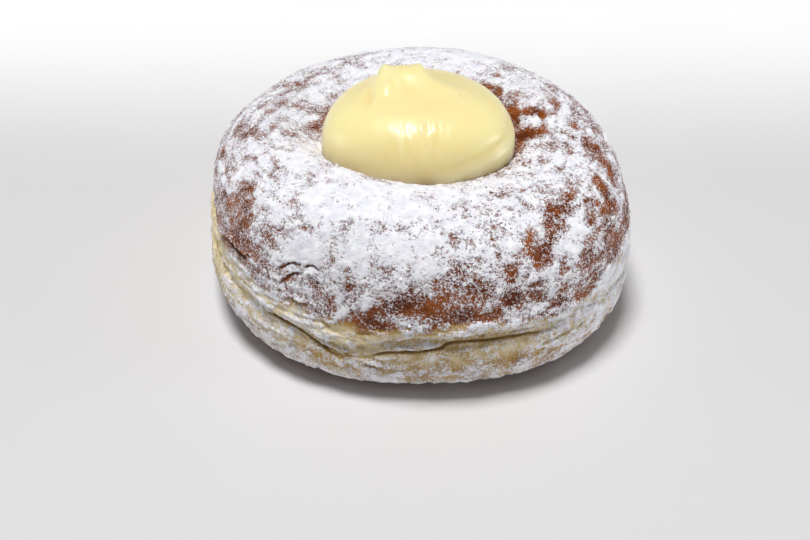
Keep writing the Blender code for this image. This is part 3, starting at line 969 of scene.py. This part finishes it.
def makeScatterTree():
    # Grains on a surface, as many as the mask says, each turned, stretched and roughened its own way
    tree, given, end = newTree(
        "sugarScatter",
        "GeometryNodeTree",
        [
            ("Geometry", "NodeSocketGeometry", None),
            ("Density", "NodeSocketFloat", 1.0e6),
            ("Mask", "NodeSocketString", "specks"),
            ("Smallest", "NodeSocketFloat", 0.1 * mm),
            ("Largest", "NodeSocketFloat", 0.3 * mm),
            ("Detail", "NodeSocketInt", 1),
            ("Lift", "NodeSocketFloat", 0.2),
            ("Roughen", "NodeSocketFloat", 0.05 * mm),
            ("Seed", "NodeSocketInt", 1),
            ("Finish", "NodeSocketMaterial", None),
        ],
        [("Geometry", "NodeSocketGeometry")],
    )
    shape = grainShape
    density = calc(tree, "MULTIPLY", readNamed(tree, given["Mask"]), given["Density"])
    scatter = {"Mesh": given["Geometry"], "Density": density, "Seed": given["Seed"]}
    spread = addNode(tree, "GeometryNodeDistributePointsOnFaces", scatter, distribute_method="RANDOM")

    def chance(offset, kind, low, high):
        seed = calc(tree, "ADD", given["Seed"], offset)
        made = addNode(tree, "FunctionNodeRandomValue", {"Seed": seed}, data_type=kind)
        ends = (0, 1) if kind == "FLOAT_VECTOR" else (2, 3)  # this node has a pair of ends for each kind
        made.inputs[ends[0]].default_value = low
        made.inputs[ends[1]].default_value = high
        return made.outputs[0 if kind == "FLOAT_VECTOR" else 1]

    skewed = calc(tree, "POWER", chance(1.0, "FLOAT", 0.0, 1.0), shape["rarity"])
    span = calc(tree, "SUBTRACT", given["Largest"], given["Smallest"])
    size = calc(tree, "MULTIPLY_ADD", skewed, span, given["Smallest"])
    lift = calc(tree, "MULTIPLY", size, given["Lift"])
    points = moveBy(tree, spread.outputs["Points"], scaled(tree, spread.outputs["Normal"], lift))
    stretch = chance(2.0, "FLOAT_VECTOR", (shape["narrowest"],) * 3, (shape["widest"],) * 3)
    turn = chance(3.0, "FLOAT_VECTOR", (0.0, 0.0, 0.0), (math.tau, math.tau, math.tau))
    ball = {"Radius": 1.0, "Subdivisions": given["Detail"]}
    grain = addNode(tree, "GeometryNodeMeshIcoSphere", ball).outputs[0]
    placed = {"Points": points, "Instance": grain, "Rotation": turn, "Scale": scaled(tree, stretch, size)}
    grains = addNode(tree, "GeometryNodeInstanceOnPoints", placed).outputs[0]
    real = addNode(tree, "GeometryNodeRealizeInstances", {"Geometry": grains}).outputs[0]

    # Each grain's bumps come from one noise through the whole place, so no two are alike.
    place = addNode(tree, "GeometryNodeInputPosition").outputs[0]
    bumps = {"Vector": place, "Scale": 1.0 / shape["bumpSize"], "Detail": 1.0}
    warp = addNode(tree, "ShaderNodeTexNoise", bumps).outputs[1]
    halves = {0: warp, 1: (0.5, 0.5, 0.5)}
    centred = addNode(tree, "ShaderNodeVectorMath", halves, operation="SUBTRACT").outputs[0]
    endTree(tree, end, moveBy(tree, real, scaled(tree, centred, given["Roughen"])), given["Finish"])
    return tree


def markLooseSugar(mesh):
    # Where each size of grain lies, from the sugar that the relief left on the dough
    use = looseWhere
    height = readPlaces(mesh)[0][:, 2] / mm
    sugar = readValues(mesh, "sugar")
    loose = readValues(mesh, "loose")
    skirt = 1.0 - ease(*use["skirtFade"], height)
    belt = np.maximum(skirt, readValues(mesh, "belt"))
    dusted = at(sugar, *use["dustedAt"])
    for size in ("specks", "grains"):
        least, more = use[size]
        share = least + more * dusted * (1.0 - use["beltLoss"] * belt)
        writeValues(mesh, size, loose * np.clip(share, 0.0, 1.0))
    earlier = use["beltEarlier"] * belt
    clumps = use["clumps"] * ease(use["clumpsFrom"] - earlier, use["clumpsFull"] - earlier, sugar)
    writeValues(mesh, "clumps", loose * clumps)


# Custard cream: the dents and swellings are given as the dough's spots are, with their height in mm.
cream = {
    "levels": 2,
    "dents": (
        (367, 95, 6, 9, 25, -0.8), (462, 94, 2.5, 2, 0, -0.25), (387, 87, 5, 8, 15, 0.5),
        (408, 84, 8, 9, 0, -0.3),
    ),
    "unevenSize": 6.0 * mm,
    "uneven": 0.08,
    "streaked": (415, 146, 38, 26, 0),
    "streakSize": np.array((1.4, 4.0, 4.0)) * mm,
    "streaks": 0.5,
    "plugFade": (38.0, 42.0),  # the plug in the well keeps its shape
    # How far the mound's foot settles onto the dough, and between which heights
    "settle": 0.9,
    "settleTop": (43.0, 41.0),
    "settleFoot": (37.0, 40.0),
}


def makeCream():
    use = cream
    piece = refinedPiece("custard_cream", "custard_cream_mound", use["levels"])
    mesh = piece.data
    surface = surfaceOf(mesh)
    places, normals = readPlaces(mesh)
    height = places[:, 2] / mm
    lift = use["uneven"] * noiseAt(places, use["unevenSize"])
    for *spot, change in use["dents"]:
        lift += change * spotShares(surface, places, spot)
    streaked = spotShares(surface, places, use["streaked"])
    lift += use["streaks"] * streaked * noiseAt(places, use["streakSize"])
    lift *= ease(*use["plugFade"], height)
    places += normals * (lift * mm)[:, None]
    places[:, 2] -= use["settle"] * mm * ease(*use["settleTop"], height) * ease(*use["settleFoot"], height)
    writePlaces(mesh, places)
    mesh.materials.clear()
    mesh.materials.append(makeCreamFinish())
    return piece


# Stage: a plain pale floor, paler farther back, and soft studio light
stage = {
    "near": (0.690, 0.683, 0.683, 1.0),
    "far": (0.985, 0.985, 0.990, 1.0),
    "fadeFrom": 0.035,
    "fadeTo": 0.13,
    "size": 3.0,
    "driftSize": 30.0 * mm,
    "roughnessRange": (0.3, 0.7, 0.5, 0.6),
    "shader": {"Specular IOR Level": 0.2},
    "air": (0.97, 0.98, 1.0, 1.0),
    "airStrength": 0.075,
    # Round lamps aimed at the doughnut: place, size and power
    "aim": Vector((0.0, 0.0, 0.03)),
    "lights": {
        "overhead": ((-0.18, -0.26, 2.0), 0.62, 39.5),
        "leftFill": ((-0.90, -0.10, 0.10), 0.40, 1.9),
        "rightFill": ((0.90, -0.20, 0.10), 0.40, 3.0),
        "glint": ((0.10, -0.80, 0.17), 0.14, 0.12),
    },
}


def makeStage():
    use = stage
    form = bmesh.new()
    bmesh.ops.create_grid(form, x_segments=1, y_segments=1, size=use["size"])
    mesh = bpy.data.meshes.new("studio_floor")
    form.to_mesh(mesh)
    form.free()
    floor = addObject("studio_floor", mesh)
    finish, tree, shader, place = newFinish("floorSurface")
    back = addNode(tree, "ShaderNodeSeparateXYZ", {0: place}).outputs["Y"]
    share = easeRange(tree, back, use["fadeFrom"], use["fadeTo"])
    colour = blend(tree, share, use["near"], use["far"])
    roughness = easeRange(tree, noiseOf(tree, place, use["driftSize"]), *use["roughnessRange"])
    feed(tree, shader, {"Base Color": colour, "Roughness": roughness})
    setSockets(shader, use["shader"])
    mesh.materials.append(finish)

    for name, (where, size, power) in use["lights"].items():
        data = bpy.data.lights.new(name, "AREA")
        data.shape = "DISK"
        data.size = size
        data.energy = power
        lamp = bpy.data.objects.new(name, data)
        lamp.location = where
        lamp.rotation_euler = (use["aim"] - Vector(where)).to_track_quat("-Z", "Y").to_euler()
        bpy.context.scene.collection.objects.link(lamp)

    world = bpy.data.worlds.new("studioAir")
    world.use_nodes = True
    air = world.node_tree.nodes["Background"]
    air.inputs["Color"].default_value = use["air"]
    air.inputs["Strength"].default_value = use["airStrength"]
    bpy.context.scene.world = world
    bpy.context.scene.view_settings.view_transform = "Standard"
    return floor


makeCamera()
floor = makeStage()
print("stage: floor, lights and camera are set")

sugaredDough = makeDough()
mesh = runTree(sugaredDough, makeReliefTree(), {**dough["patches"], "Finish": makeDoughFinish()})
mesh.shade_smooth()
markLooseSugar(mesh)
print("dough:", len(mesh.vertices), "points")

scatter = makeScatterTree()
sugarSurface = makeSugarFinish()
scattered = []
for name, values in looseSugar.items():
    grains = addObject(name, mesh.copy())
    runTree(grains, scatter, {**values, "Finish": sugarSurface})
    scattered.append(grains)
    print("loose sugar:", name, len(grains.data.polygons), "faces")

creamMound = makeCream()
print("cream:", len(creamMound.data.vertices), "points")

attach(sugaredDough, "root")
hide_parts("dough")
for grains in scattered:
    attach(grains, "root")
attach(creamMound, "root")
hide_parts("custard_cream")
